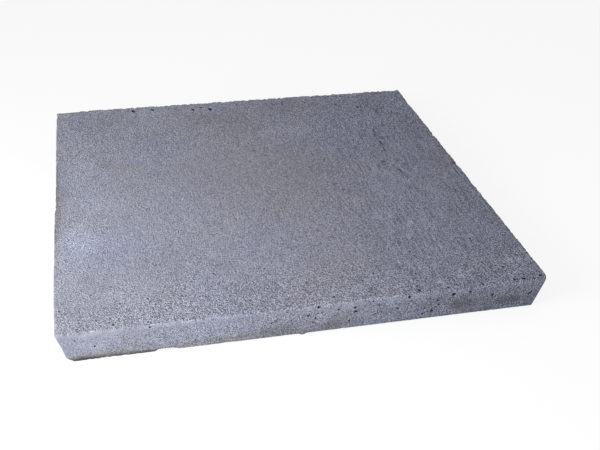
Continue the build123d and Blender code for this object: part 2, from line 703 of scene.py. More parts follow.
    def _ring(self, row: ProfileRow) -> Points:
        """Places the columns of one level, side by side and anticlockwise from above.

        Args:
            row: The level.

        Returns:
            One place for each column, in metres.
        """
        columns = self.top_cells * self.columns_per_cell
        reach = {side: abs(side.outward[:2]) @ self.half - self._inset(side, row) for side in Side}
        share = row.height / self.thickness
        radii = np.array(self.top_corner_radii) * share + np.array(self.foot_corner_radii) * (1 - share)
        places = []
        sides = list(Side)
        for index, side in enumerate(sides):
            before, after = sides[index - 1], sides[(index + 1) % len(sides)]
            first, last = radii[index - 1], radii[index]
            for place in np.linspace(first - reach[before], reach[after] - last, columns + 1):
                places.append(side.outward * reach[side] + side.along * place)
            middle = side.outward * (reach[side] - last) + after.outward * (reach[after] - last)
            for turn in np.linspace(0, math.pi / 2, self.corner_columns + 1)[1:-1]:
                spoke = side.outward * math.cos(turn) + after.outward * math.sin(turn)
                places.append(middle + spoke * last)
        ring = np.array(places)
        ring[:, 2] = row.height
        return ring

    def _grid(self, row: ProfileRow, cells: int, height: float) -> Points:
        """Places a square grid inside one level of the rim.

        Args:
            row: The level that the grid joins.
            cells: Cells along each side.
            height: Height of the grid.

        Returns:
            The places, row by row from the front.
        """
        reach = self.half - row.inset - self.grid_margin
        shares = np.linspace(-1, 1, cells + 1)
        across, back = np.meshgrid(shares * reach[0], shares * reach[1])
        return np.column_stack([across.ravel(), back.ravel(), np.full(across.size, height)])

    @staticmethod
    def _grid_rim(cells: int) -> list[int]:
        """Lists a grid's border in the order of the rim's columns.

        Args:
            cells: Cells along each side.

        Returns:
            The border's points, one side after another, without the last corner of each.
        """
        line = cells + 1
        front = list(range(cells))
        right = [cells + line * step for step in range(cells)]
        back = [line * line - 1 - step for step in range(cells)]
        left = [cells * line - line * step for step in range(cells)]
        return front + right + back + left

    def _stitch(self, border: Sequence[int], ring: Sequence[int], cells: int, ratio: int) -> list[Face]:
        """Joins a grid's border to a finer ring of columns with triangles.

        Args:
            border: The grid's border points.
            ring: The ring's points.
            cells: The grid's cells along each side.
            ratio: Columns of the ring for each cell.

        Returns:
            The triangles, anticlockwise from above.
        """
        faces: list[Face] = []
        per_side = cells * ratio + self.corner_columns
        count = len(ring)
        for side in range(4):
            for cell in range(cells):
                near = border[side * cells + cell]
                far = border[(side * cells + cell + 1) % len(border)]
                first = side * per_side + cell * ratio
                for step in range(ratio):
                    owner = near if step < ratio // 2 else far
                    faces.append((owner, ring[(first + step) % count], ring[(first + step + 1) % count]))
                faces.append((near, ring[(first + ratio // 2) % count], far))
            corner = border[((side + 1) * cells) % len(border)]
            for step in range(self.corner_columns):
                first = side * per_side + cells * ratio + step
                faces.append((corner, ring[first % count], ring[(first + 1) % count]))
        return faces

    def _base_mesh(self) -> bpy.types.Mesh:
        """Makes the slab as cast: grids on the top and underside, joined by the rim.

        Returns:
            A closed mesh with each point's run down from the crease kept as an attribute.
        """
        foot_cells = self.top_cells * self.columns_per_cell // self.columns_per_foot_cell
        top = self._grid(self.rows[0], self.top_cells, self.thickness)
        rings = [self._ring(row) for row in self.rows]
        foot = self._grid(self.rows[-1], foot_cells, 0.0)
        places = np.vstack([top, *rings, foot])
        places[:, 0] += self._left_wear(places)
        columns = len(rings[0])
        ring_points = [
            [len(top) + level * columns + column for column in range(columns)] for level in range(len(rings))
        ]
        foot_start = len(top) + columns * len(rings)
        faces: list[Face] = []
        for cells, start, flip in ((self.top_cells, 0, False), (foot_cells, foot_start, True)):
            line = cells + 1
            for back in range(cells):
                for across in range(cells):
                    point = start + back * line + across
                    quad = (point, point + 1, point + line + 1, point + line)
                    faces.append(quad[::-1] if flip else quad)
        top_border = self._grid_rim(self.top_cells)
        faces += self._stitch(top_border, ring_points[0], self.top_cells, self.columns_per_cell)
        foot_border = [foot_start + point for point in self._grid_rim(foot_cells)]
        foot_faces = self._stitch(foot_border, ring_points[-1], foot_cells, self.columns_per_foot_cell)
        faces += [face[::-1] for face in foot_faces]
        for upper, lower in zip(ring_points, ring_points[1:]):
            for column in range(columns):
                after = (column + 1) % columns
                faces.append((upper[column], lower[column], lower[after], upper[after]))
        mesh = bpy.data.meshes.new("worn_slab")
        mesh.from_pydata(places.tolist(), [], faces)
        inside_top = np.min(self.half - self.rows[0].inset - np.abs(top[:, :2]), axis=1)
        inside_foot = np.min(self.half - self.rows[-1].inset - np.abs(foot[:, :2]), axis=1)
        runs = [self.rows[0].run - inside_top]
        runs += [np.full(columns, row.run) for row in self.rows]
        runs += [inside_foot + self.rows[-1].run]
        attribute = mesh.attributes.new("run", "FLOAT", "POINT")
        attribute.data.foreach_set("value", np.concatenate(runs).astype(np.float32))
        return mesh

    def _left_wear(self, places: Points) -> Values:
        """How far the left side is rubbed in: behind the middle, and at the top of its front end.

        Args:
            places: Points of the slab as cast.

        Returns:
            How far each point moves to the right, in metres.
        """
        x, y, z = places.T
        fade = 1 - self.left_rub_faded * smooth_step(y, *self.left_rub_fade)
        behind = self.left_rub * smooth_step(y, *self.left_rub_start) * fade
        foot_rub, top_rub = self.front_end_rubs
        upright = foot_rub + (top_rub - foot_rub) * smooth_step(z, *self.front_end_heights)
        in_front = upright * smooth_step(-y, *self.front_end)
        inner, outer = self.left_zone
        near_side = smooth_step(-x, self.half[0] - inner, self.half[0] - outer)
        return (behind + in_front) * near_side

    def _leaning(self, side: Side) -> np.ndarray:
        """Direction out of a side, which leans in towards its foot."""
        return side.outward * math.cos(self.draft) - UP * math.sin(self.draft)

    def _level_place(self, side: Side, inset: float, at: float) -> np.ndarray:
        """Place at an inset from a side's widest level and along it, at the height of the underside."""
        return side.outward * (abs(side.outward[:2]) @ (self.half - inset)) + np.abs(side.along) * at

    def _side_place(self, side: Side, at: float, height: float) -> tuple[np.ndarray, np.ndarray]:
        """Finds a place on an upright side.

        Args:
            side: The side.
            at: Place along the side, in the frame's own X or Y.
            height: Height above the underside.

        Returns:
            The place, and the direction out of the surface there.
        """
        heights = [row.height for row in self.rows[::-1]]
        insets = [row.inset for row in self.rows[::-1]]
        place = self._level_place(side, float(np.interp(height, heights, insets)), at)
        place[2] = height
        return place, self._leaning(side)

    def _arris_place(self, side: Side, edge: Edge, at: float) -> tuple[np.ndarray, np.ndarray]:
        """Finds the middle of an arris and the way that it points.

        Args:
            side: The side that the arris belongs to.
            edge: The top or bottom arris.
            at: Place along it, in the frame's own X or Y.

        Returns:
            The place, and the direction out of the arris.
        """
        if edge is Edge.TOP:
            inset = self.roll_radius * (1 - math.cos(self.roll_end))
            if side is Side.LEFT:
                inset = self.left_arris_drop * self.arris_setback
            place = self._level_place(side, inset, at) + UP * self.thickness
            return place, side.outward * math.cos(self.roll_end) + UP * math.sin(self.roll_end)
        outward = self._leaning(side) - UP
        outward /= np.linalg.norm(outward)
        centre = self._level_place(side, self.rows[-1].inset, at) + UP * self.foot_radius
        return centre + outward * self.foot_radius, outward

    @staticmethod
    def _scallop(place: np.ndarray, outward: np.ndarray, length: float, depth: float) -> Ball:
        """Makes the ball that leaves a scallop of this length and depth in an edge."""
        radius = (length**2 / 4 + depth**2) / (2 * depth)
        return Ball(place + outward * (radius - depth), radius)

    def _large_breaks(self) -> list[Ball]:
        """Lists the balls of the large breaks, with the one at the foot of the front left corner.

        Returns:
            One ball for each break.
        """
        balls = []
        for broken in self.breaks:
            place, outward = self._arris_place(broken.side, broken.edge, broken.at)
            balls.append(self._scallop(place, outward, broken.length, broken.depth))
        spoke = np.array([-1.0, -1.0, 0.0]) / math.sqrt(2)
        corner = np.array([*-(self.half - self.rows[-1].inset), 0.0])
        corner += spoke * self.foot_radius * self.arris_setback
        outward = spoke * math.cos(self.draft) - UP
        outward /= np.linalg.norm(outward)
        balls.append(self._scallop(corner, outward, self.corner_break_length, self.corner_break_depth))
        return balls

    def _small_nicks(self) -> list[Ball]:
        """Scatters the small nicks of every crumbled stretch.

        Returns:
            One ball for each nick.
        """
        draw = np.random.default_rng(self.seed + 1)
        balls = []
        for crumble in CRUMBLES:
            for _ in range(crumble.count):
                at = draw.uniform(*crumble.stretch) * MM
                place, outward = self._arris_place(crumble.side, crumble.edge, at)
                tilt = outward + crumble.side.along * draw.uniform(-self.nick_skew, self.nick_skew)
                tilt[2] += draw.uniform(-self.nick_tilt, self.nick_tilt)
                tilt /= np.linalg.norm(tilt)
                length, depth = draw.uniform(*crumble.lengths) * MM, draw.uniform(*crumble.depths) * MM
                balls.append(self._scallop(place, tilt, length, depth))
        return balls

    def _holes(self) -> list[Hole]:
        """Lists every blow-hole: those that can be told apart, and scattered ones on all the sides.

        Returns:
            The holes of the sides, then those of the top.
        """
        pits = [SidePit(Side.FRONT, at * MM, height * MM, size * MM) for at, height, size in FRONT_PITS]
        pits.append(SLANTED_PIT)
        draw = np.random.default_rng(self.seed + 2)
        for side in Side:
            front = side is Side.FRONT
            reach = abs(side.along[:2]) @ (self.half - self.hole_end_margin)
            for _ in range(self.front_specks if front else self.side_holes):
                at = draw.uniform(-reach, reach)
                height = draw.uniform(self.lowest_hole, self.thickness - self.roll_radius)
                radius = draw.uniform(*(self.speck_radii if front else self.side_hole_radii))
                pits.append(SidePit(side, at, height, radius))
        holes = []
        for pit in pits:
            place, outward = self._side_place(pit.side, pit.at, pit.height)
            up = np.cross(outward, pit.side.along)
            across = pit.side.along * math.cos(pit.slant) + up * math.sin(pit.slant)
            holes.append(Hole(place, outward, across, pit.radius, pit.stretch))
        for x, y, size in TOP_PITS:
            place = np.array([x * MM, y * MM, self.thickness])
            holes.append(Hole(place, UP, PIT_WAY, size * PIT_WIDTH * MM, PIT_STRETCH))
        return holes

    @staticmethod
    def _refine(grid: bmesh.types.BMesh, near: Callable[[Points], Mask], cuts: int) -> None:
        """Divides the faces whose middles lie in a zone.

        Args:
            grid: The mesh.
            near: Says which of some points lie in the zone.
            cuts: Cuts across each edge.
        """
        middles = np.array([face.calc_center_median() for face in grid.faces])
        chosen = near(middles)
        edges = {edge for face, wanted in zip(grid.faces, chosen) if wanted for edge in face.edges}
        bmesh.ops.subdivide_edges(grid, edges=list(edges), cuts=cuts, use_grid_fill=True)
        bmesh.ops.triangulate(grid, faces=[face for face in grid.faces if len(face.verts) > 4])

    @staticmethod
    def _near_holes(points: Points, holes: Sequence[Hole], margin: float) -> Mask:
        """Says which points are within a margin of a hole.

        Args:
            points: Places in metres.
            holes: The blow-holes.
            margin: How far round each hole its zone goes.

        Returns:
            True for each point in the oval zone of a hole.
        """
        found = np.zeros(len(points), dtype=bool)
        for hole in holes:
            offset = points - hole.middle
            along = offset @ hole.across
            aside = np.linalg.norm(offset - np.outer(along, hole.across), axis=1)
            length, width = hole.radius * hole.stretch + margin, hole.radius + margin
            found |= np.hypot(along / length, aside / width) < 1
        return found

    def _near_tears(self, points: Points) -> Mask:
        """Says which points are near a tear, whatever their height."""
        return np.min([self._tear_distance(tear, points) for tear in TEARS], axis=0) < self.tear_margin

    def _divided_mesh(self, holes: Sequence[Hole]) -> bpy.types.Mesh:
        """Gives the cast slab finer faces where its relief is fine.

        Args:
            holes: The blow-holes.

        Returns:
            The mesh before its relief.
        """
        mesh = self._base_mesh()
        grid = bmesh.new()
        grid.from_mesh(mesh)

        def on_top(points: Points) -> Mask:
            """Says which points are on the top face."""
            return points[:, 2] > self.thickness - self.top_skin

        def on_strip(points: Points) -> Mask:
            """Says which points are on the strip of the top along the front."""
            return on_top(points) & (points[:, 1] < self.fine_strip - self.half[1])

        def near_pits(points: Points) -> Mask:
            """Says which points of the top are round a hole."""
            return on_top(points) & self._near_holes(points, holes, self.pit_margin)

        self._refine(grid, on_strip, 1)
        self._refine(grid, lambda points: on_top(points) & self._near_tears(points), 3)
        self._refine(grid, near_pits, 1)
        self._refine(grid, lambda points: self._near_holes(points, holes, self.hole_margin), 3)
        bmesh.ops.recalc_face_normals(grid, faces=grid.faces)
        grid.to_mesh(mesh)
        grid.free()
        return mesh

    def _wear(self, places: Points, run: Values) -> Values:
        """Depth of the general relief: slow waves, rubbed grain on the top and worn arrises.

        Args:
            places: Points of the slab as cast.
            run: Each point's run from the top arris.

        Returns:
            How far each point goes in, in metres.
        """
        waves = self.wave_depth * (1 + self.noise.layered(places, self.wave_size, 2))
        from_front = places[:, 1] + self.half[1]
        on_top = smooth_step(-run, *self.grain_start) * (1 + smooth_step(from_front, *self.front_grain))
        grain = self.grain_depth * (1 + self.noise.layered(places, self.grain_size, 2)) * on_top
        broad = np.abs(self.noise.sample(places, self.ragged_size))
        crumbs = np.abs(self.noise.sample(places, self.crumb_size))
        ragged = np.clip(broad * self.ragged_share + crumbs * self.crumb_share - self.unworn_share, 0, None)
        on_arris = smooth_step(np.abs(run - self.arris_run), *self.arris_reach)
        left_whole = self.front_spared * smooth_step(from_front, *self.front_arris)
        worn = self.arris_wear * on_arris * ragged * (1 - left_whole)
        past_foot = run - self.rows[-1].run
        foot = self.foot_wear * smooth_step(np.abs(past_foot - self.foot_run), *self.foot_reach) * crumbs
        under = smooth_step(past_foot, *self.underside)
        return (waves + worn) * (1 - under) + grain + foot - self._lump(places)

    def _lump(self, places: Points) -> Values:
        """Height of the lump of paste that squeezed out under the front of the mould.

        Args:
            places: Points of the slab as cast.

        Returns:
            How far each point stands out, in metres.
        """
        along = (places[:, 0] - self.lump_at) / self.lump_reach
        low = smooth_step(places[:, 2], *self.lump_top)
        front = places[:, 1] < self.rows[-1].inset + self.lump_back - self.half[1]
        uneven = 1 + self.lump_uneven * self.noise.sample(places, self.lump_grain)
        return self.lump_height * np.exp(-(along**4)) * low * front * uneven

    @staticmethod
    def _read(data: bpy.types.bpy_prop_collection, name: str, width: int) -> Values:
        """Reads one property of all of a mesh's points.

        Args:
            data: The points, or their values of an attribute.
            name: The property.
            width: How many numbers each point has.

        Returns:
            One row for each point.
        """
        values = np.empty(len(data) * width)
        data.foreach_get(name, values)
        return values.reshape(-1, width)

    def _carve(self, mesh: bpy.types.Mesh, holes: Sequence[Hole]) -> None:
        """Moves the mesh's points in to make the relief, and keeps masks for the finish.

        Args:
            mesh: The divided slab.
            holes: The blow-holes.
        """
        places = self._read(mesh.vertices, "co", 3)
        normals = self._read(mesh.vertex_normals, "vector", 3)
        run = self._read(mesh.attributes["run"].data, "value", 1)[:, 0]
        depth = self._wear(places, run)
        torn = self._open_tears(places, run, depth)
        broken = self._cut_breaks(places, normals, depth)
        hole_shade, rim = self._sink_holes(places, holes, depth)
        places -= normals * depth[:, None]
        np.clip(places[:, 2], 0.0, self.thickness, out=places[:, 2])
        places += np.array([*self.middle, self.low.z])
        mesh.vertices.foreach_set("co", places.ravel())
        masks = {"broken": broken, "hole_shade": hole_shade, **self._tints(places)}
        # Painted highlight: a pale ring round each blow-hole goes into the pale mask.
        masks[StainKind.PALE.value] = np.maximum(masks[StainKind.PALE.value], rim)
        # Painted shade: the inside of each tear takes the damp tint.
        masks[StainKind.DAMP.value] = np.maximum(masks[StainKind.DAMP.value], self.tear_shade * torn)
        for name, values in masks.items():
            attribute = mesh.attributes.new(name, "FLOAT", "POINT")
            attribute.data.foreach_set("value", values.astype(np.float32))
        mesh.polygons.foreach_set("use_smooth", np.ones(len(mesh.polygons), dtype=bool))
        mesh.update()

    def _open_tears(self, places: Points, run: Values, depth: Values) -> Values:
        """Opens the tears in the top face.

        Args:
            places: Points of the slab as cast.
            run: Each point's run from the top arris.
            depth: How far each point goes in, which the tears add to.

        Returns:
            How much of a tear each point has, from 0 to 1.
        """
        torn = np.zeros(len(places))
        for tear in TEARS:
            cover = self._tear_cover(tear, places) * (run < 0)
            depth += tear.depth * MM * cover
            torn = np.maximum(torn, cover)
        return torn

    def _cut_breaks(self, places: Points, normals: Points, depth: Values) -> Values:
        """Cuts the nicks and breaks into the arrises.

        Args:
            places: Points of the slab as cast.
            normals: The direction out of the surface at each point.
            depth: How far each point goes in, which a break makes no less than its own depth.

        Returns:
            How broken each point is, from 0 to 1.
        """
        broken = np.zeros(len(places))
        rough = self.noise.layered(places, self.crumb_size, 3)
        for ball in self._small_nicks() + self._large_breaks():
            offset = places - ball.centre
            near = np.linalg.norm(offset, axis=1) < ball.radius
            lean = np.einsum("ij,ij->i", normals[near], offset[near])
            span = ball.radius**2 - np.einsum("ij,ij->i", offset[near], offset[near])
            cut = lean + np.sqrt(lean**2 + span)
            cut += np.minimum(cut, self.break_rough_depth) * self.break_rough * rough[near]
            depth[near] = np.maximum(depth[near], cut)
            broken[near] = np.maximum(broken[near], smooth_step(cut, *self.break_seen))
        return broken

    def _sink_holes(self, places: Points, holes: Sequence[Hole], depth: Values) -> tuple[Values, Values]:
        """Sinks the blow-holes.

        Args:
            places: Points of the slab as cast.
            holes: The blow-holes.
            depth: How far each point goes in, which the holes add to.

        Returns:
            How far inside a hole each point is, which is painted shade, and how much painted highlight it
            has on a hole's pale rim, from 0 to 1.
        """
        hole_shade, rim = np.zeros(len(places)), np.zeros(len(places))
        uneven = 1 + self.hole_uneven * self.noise.sample(places, self.hole_grain)
        for hole in holes:
            offset = places - hole.middle
            close = np.linalg.norm(offset, axis=1) < hole.radius * (hole.stretch + 1) + self.rim_margin
            side = offset[close] @ hole.across / hole.stretch
            rise = offset[close] @ np.cross(hole.outward, hole.across)
            reach = np.hypot(side, rise) / hole.radius * uneven[close]
            depth[close] += self.hole_depth * hole.radius * np.sqrt(np.clip(1 - reach**2, 0, None))
            hole_shade[close] = np.maximum(hole_shade[close], smooth_step(reach, *self.hole_edge))
            near_rim = smooth_step(np.abs(reach - self.rim_at), *self.rim_fade)
            rim[close] = np.maximum(rim[close], self.rim_highlight_strength * near_rim)
        return hole_shade, rim

    def _tints(self, places: Points) -> dict[str, Values]:
        """Works out how much of each tint every point has.

        Args:
            places: Points of the slab.

        Returns:
            One mask for each kind of stain.
        """
        masks = {kind.value: np.zeros(len(places)) for kind in StainKind}
        ragged = self.cloud_ragged * self.noise.layered(places, self.cloud_size, 3)
        for stain in STAINS:
            away = np.linalg.norm((places - stain.middle) / stain.reach, axis=1) + ragged
            cover = stain.strength * (1 - smooth_step(away, *self.cloud_edge))
            masks[stain.kind.value] = np.maximum(masks[stain.kind.value], cover)
        return masks

    @staticmethod
    def _tear_distance(tear: Tear, places: Points) -> Values:
        """Distance of each point from the path of a tear.

        Args:
            tear: The tear.
            places: Points of the slab as cast.

        Returns:
            One distance for each point, in metres.
        """
        away = np.full(len(places), np.inf)
        for first, last in zip(tear.path, tear.path[1:]):
            start, way = np.array(first) * MM, (np.array(last) - np.array(first)) * MM
            share = np.clip((places[:, :2] - start) @ way / (way @ way), 0, 1)
            away = np.minimum(away, np.linalg.norm(places[:, :2] - start - share[:, None] * way, axis=1))
        return away

    def _tear_cover(self, tear: Tear, places: Points) -> Values:
        """How much of a tear each point has, with a ragged edge.

        Args:
            tear: The tear.
            places: Points of the slab as cast.

        Returns:
            One number for each point, from 0 to 1.
        """
        width = tear.width * MM
        patchy = self.noise.sample(places, self.tear_patch)
        patchy += self.tear_crumb_share * self.noise.sample(places, self.tear_crumb)
        ragged = self.tear_ragged * width * self.noise.layered(places, self.tear_ragged_size, 2)
        away = self._tear_distance(tear, places) + ragged
        return smooth_step(patchy, *self.tear_gaps) * smooth_step(away, width, self.tear_floor * width)

    def build(self) -> None:
        """Makes the worn slab in place of the plain one."""
        holes = self._holes()
        mesh = self._divided_mesh(holes)
        self._carve(mesh, holes)
        self.piece = bpy.data.objects.new("worn_slab", mesh)
        bpy.context.scene.collection.objects.link(self.piece)
        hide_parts(NODE)
        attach(self.piece, BODY)
        triangles = sum(len(face.vertices) - 2 for face in mesh.polygons)
        LOG.info("worn_slab: %d triangles, %d blow-holes", triangles, len(holes))

    def dress(self, finish: ConcreteFinish) -> None:
        """Gives the slab its finish."""
        self.piece.data.materials.append(finish.make())
        LOG.info("worn_slab: dressed in %s", finish.name)


Input = Union["Val", float, Sequence[float]]


class Val:
    """A shader socket that takes part in sums."""

    def __init__(self, graph: Graph, socket: bpy.types.NodeSocket) -> None:
        """Keeps the socket and the graph that it belongs to."""
        self.graph = graph
        self.socket = socket

    def _with(self, operation: str, first: Input, second: Input) -> Val:
        """Adds one Math node."""
        return self.graph.node("ShaderNodeMath", {"operation": operation}, {0: first, 1: second})

    def __add__(self, other: Input) -> Val:
        """Adds a value or a number."""
        return self._with("ADD", self, other)

    def __radd__(self, other: float) -> Val:
        """Adds to a number."""
        return self._with("ADD", other, self)

    def __sub__(self, other: Input) -> Val:
        """Takes a value or a number off."""
        return self._with("SUBTRACT", self, other)

    def __rsub__(self, other: float) -> Val:
        """Takes this off a number."""
        return self._with("SUBTRACT", other, self)

    def __mul__(self, other: Input) -> Val:
        """Multiplies by a value or a number."""
        return self._with("MULTIPLY", self, other)

    def __rmul__(self, other: float) -> Val:
        """Multiplies a number."""
        return self._with("MULTIPLY", other, self)

    def at_least(self, other: Input) -> Val:
        """Keeps the higher of two values."""
        return self._with("MAXIMUM", self, other)


class Graph:
    """A node tree that is written as expressions."""

    def __init__(self, tree: bpy.types.NodeTree) -> None:
        """Empties the tree."""
        self.tree = tree
        tree.nodes.clear()

    def node(
        self,
        kind: str,
        settings: Mapping[str, object] | None = None,
        inputs: Mapping[Union[str, int], Input] | None = None,
        output: Union[str, int] = 0,
    ) -> Val:
        """Adds one node.

        Args:
            kind: The node's type.
            settings: Properties of the node, which are set first.
            inputs: Values or links of its sockets, by name or number.
            output: The socket to go on with.

        Returns:
            That socket.
        """
        made = self.tree.nodes.new(kind)
        for name, setting in (settings or {}).items():
            setattr(made, name, setting)
        for key, value in (inputs or {}).items():
            if isinstance(value, Val):
                self.tree.links.new(value.socket, made.inputs[key])
            else:
                made.inputs[key].default_value = value
        return Val(self, made.outputs[output] if len(made.outputs) else None)

    def step(self, value: Input, low: float, high: float) -> Val:
        """Eases from 0 at low to 1 at high."""
        ends = {"Value": value, "From Min": low, "From Max": high, "To Min": 0.0, "To Max": 1.0}
        return self.node("ShaderNodeMapRange", {"interpolation_type": "SMOOTHSTEP"}, ends)

    def noise(self, place: Val, size: float, detail: float = 2.0, rough: float = 0.5) -> Val:
        """Adds noise with bumps about size across, between 0 and 1."""
        sockets = {"Vector": place, "Scale": 1 / size, "Detail": detail, "Roughness": rough}
        return self.node("ShaderNodeTexNoise", {}, sockets)

    def attribute(self, name: str) -> Val:
        """Reads one of the mesh's masks."""
        return self.node("ShaderNodeAttribute", {"attribute_name": name}, {}, "Fac")

    def stretch(self, place: Val, scale: Sequence[float]) -> Val:
        """Scales a place along each axis."""
        return self.node("ShaderNodeVectorMath", {"operation": "MULTIPLY"}, {0: place, 1: scale})

    def axes(self, place: Val) -> tuple[Val, Val]:
        """Splits a place into how far right and how far back it is."""
        x, y = (self.node("ShaderNodeSeparateXYZ", {}, {0: place}, axis) for axis in ("X", "Y"))
        return x, y

    def drawn_out(self, place: Val, way: float, scale: Sequence[float]) -> Val:
        """Turns a place about the upright, and draws it out along the turned axes."""
        sockets = {"Vector": place, "Rotation": (0.0, 0.0, way), "Scale": scale}
        return self.node("ShaderNodeMapping", {"vector_type": "TEXTURE"}, sockets)

    def grains(self, place: Val, size: float) -> tuple[Val, Val]:
        """Packs grains of sand side by side.

        Args:
            place: Where on the surface.
            size: Width of one grain in metres.

        Returns:
            A tone for each grain, between 0 and 1, and the distance from its middle.
        """
        away = self.node("ShaderNodeTexVoronoi", {}, {"Vector": place, "Scale": 1 / size})
        tint = Val(self, away.socket.node.outputs["Color"])
        return self.node("ShaderNodeSeparateColor", {}, {0: tint}), away

    def blend(self, share: Input, first: Input, second: Input, mode: str = "MIX") -> Val:
        """Mixes two colours."""
        settings = {"data_type": "RGBA", "blend_type": mode}
        return self.node("ShaderNodeMix", settings, {0: share, 6: first, 7: second}, 2)


def rgba(colour: Colour) -> tuple[float, float, float, float]:
    """Adds full cover to a colour."""
    return (*colour, 1.0)


class Zones(NamedTuple):
    """Masks of the zones that look different, each from 0 to 1."""

    top: Val
    side: Val
    skin: Val
    washed: Val
    front: Val
    back: Val
    right: Val
    front_left: Val
    dragged: Val

    def weigh(self, base: float, **weights: float) -> Val:
        """Adds the weight of each named zone to a base."""
        return sum((getattr(self, name) * weight for name, weight in weights.items()), base)


class Grain(NamedTuple):
    """Textures of the sand, the paste and the float's marks."""

    fine: Val
    grit: Val
    pebbles: Val
    domes: Val
    worms: Val
    ridges: Val
    streaks: Val
    clouds: Val


@dataclass(frozen=True)
class ConcreteFinish:
    """Grey concrete: a rubbed, sandy top, a smoother skin of paste on the arris and cloudy sides."""

    name: str = "rubbed_concrete"
    cool: Colour = (0.219, 0.230, 0.300)
    warm: Colour = (0.229, 0.235, 0.284)
    # Colour of damp patches and of the painted shade inside the tears
    damp: Colour = (0.115, 0.118, 0.142)
    earth: Colour = (0.215, 0.200, 0.198)
    soil: Colour = (0.060, 0.051, 0.045)
    pale: Colour = (0.296, 0.312, 0.405)
    # Painted shade inside the blow-holes
    hole_shade: Colour = (0.010, 0.010, 0.012)

    # Zones: where each begins and where it is full, to the right, to the back or down from the crease
    front_zone: Span = (-270 * MM, -380 * MM)
    back_zone: Span = (50 * MM, 300 * MM)
    right_zone: Span = (-50 * MM, 300 * MM)
    # The front left corner: finer grain, and painted shade that takes back the window lamp's light there
    front_left_across: Span = (-120 * MM, -420 * MM)
    front_left_back: Span = (-150 * MM, -420 * MM)
    dragged_across: Span = (40 * MM, 200 * MM)
    dragged_back: Span = (240 * MM, 80 * MM)
    side_start: Span = (-3 * MM, 3 * MM)
    crease_shade: Span = (5 * MM, 1 * MM)
    skin_end: Span = (18 * MM, 9 * MM)
    deep_wash: Span = (70 * MM, -30 * MM)
    deep_wash_drop: float = 50 * MM
    strong_wash: Span = (-120 * MM, 80 * MM)
    weak_wash: Span = (220 * MM, 340 * MM)
    # Painted light: where the colour starts to grow paler towards the left, and where it is palest
    painted_light_left: Span = (450 * MM, -450 * MM)

    # Sizes of the textures, and how the float drew them out
    fine_grain: float = 0.95 * MM
    grit_grain: float = 1.5 * MM
    pebble: float = 2.4 * MM
    worm: float = 2.2 * MM
    mark: float = 3.2 * MM
    ripple: float = 12 * MM
    ripple_drop: float = 10 * MM
    cloud: float = 26 * MM
    rubbed: float = 34 * MM
    wave: float = 55 * MM
    wave_drop: float = 30 * MM
    drag: float = 60 * MM
    patch: float = 110 * MM
    float_way: float = math.radians(-56)
    drawn: Place = (1.4, 1.0, 1.0)
    ridge_stretch: Place = (1.0, 0.35, 1.0)
    streak_stretch: Place = (1.0, 0.07, 1.0)

    # Where a texture's values turn: drag marks, warm paste, dark pebbles and pale ones
    drag_gaps: Span = (0.35, 0.6)
    warm_patches: Span = (0.20, 0.64)
    dark_pebbles: Span = (0.05, 0.04)
    pale_pebbles: Span = (0.955, 0.965)

    # Shader: height of the bumps, base and lowest levels, roughness and gloss
    bump: float = 1.6 * MM
    base_level: float = 0.858
    lowest_level: float = 0.2
    roughness: float = 0.88
    gloss: float = 0.2

    def _zones(self, graph: Graph, place: Val, run: Val) -> Zones:
        """Finds the zones of the surface.

        Args:
            graph: The material's graph.
            place: Where on the slab.
            run: The run down from the crease.

        Returns:
            The zones' masks.
        """
        x, y = graph.axes(place)
        ripple = (graph.noise(place, self.ripple, 2.0, 0.6) - 0.5) * self.ripple_drop
        wavy_run = run + (graph.noise(place, self.wave, 3.0, 0.6) - 0.5) * self.wave_drop
        side = graph.step(run + ripple, *self.side_start)
        drop = graph.step(x, *self.deep_wash) * self.deep_wash_drop
        patchy = graph.step(graph.noise(place, self.drag), *self.drag_gaps)
        return Zones(
            top=1 - side,
            side=side,
            skin=side * graph.step(wavy_run, *self.skin_end),
            washed=side * graph.step(wavy_run - drop, *self.skin_end),
            front=graph.step(y, *self.front_zone),
            back=graph.step(y, *self.back_zone),
            right=graph.step(x, *self.right_zone),
            front_left=graph.step(x, *self.front_left_across) * graph.step(y, *self.front_left_back),
            dragged=graph.step(x, *self.dragged_across) * graph.step(y, *self.dragged_back) * patchy,
        )

    def _grain(self, graph: Graph, place: Val) -> Grain:
        """Makes the textures.

        Args:
            graph: The material's graph.
            place: Where on the slab.

        Returns:
            The textures, with all but the pebbles' tones, the domes and the ridges about nought.
        """
        drawn = graph.drawn_out(place, self.float_way, self.drawn)
        fine, _ = graph.grains(drawn, self.fine_grain)
        grit, _ = graph.grains(drawn, self.grit_grain)
        pebbles, away = graph.grains(drawn, self.pebble)
        rubbed = graph.noise(place, self.rubbed, 3.0, 0.6) * 1.2 + 0.4
        ridges = graph.noise(graph.stretch(place, self.ridge_stretch), self.mark, 2.0, 0.6)
        streaks = graph.noise(graph.stretch(place, self.streak_stretch), self.mark, 1.0)
        return Grain(
            fine=(fine - 0.5) * rubbed,
            grit=grit - 0.5,
            pebbles=pebbles,
            domes=1 - away,
            worms=graph.noise(drawn, self.worm, 0.0) - 0.5,
            ridges=ridges,
            streaks=streaks - 0.5,
            clouds=graph.noise(place, self.cloud) - 0.5,
        )

    def _tinted(self, graph: Graph, place: Val, zones: Zones) -> Val:
        """Mixes the colours of the paste, the pale wash along the arris and the stains.

        Args:
            graph: The material's graph.
            place: Where on the slab.
            zones: The zones' masks.

        Returns:
            The colour before its speckle.
        """
        x, _ = graph.axes(place)
        # Painted light: more of the cool colour to the right, for the bluer skylight there. There is more of
        # the warm colour on the top at the front left corner.
        patches = graph.noise(place, self.patch) - zones.right * 0.25 + zones.front_left * zones.top * 0.15
        colour = graph.blend(graph.step(patches, *self.warm_patches), rgba(self.cool), rgba(self.warm))
        strong, weak = graph.step(x, *self.strong_wash), graph.step(x, *self.weak_wash)
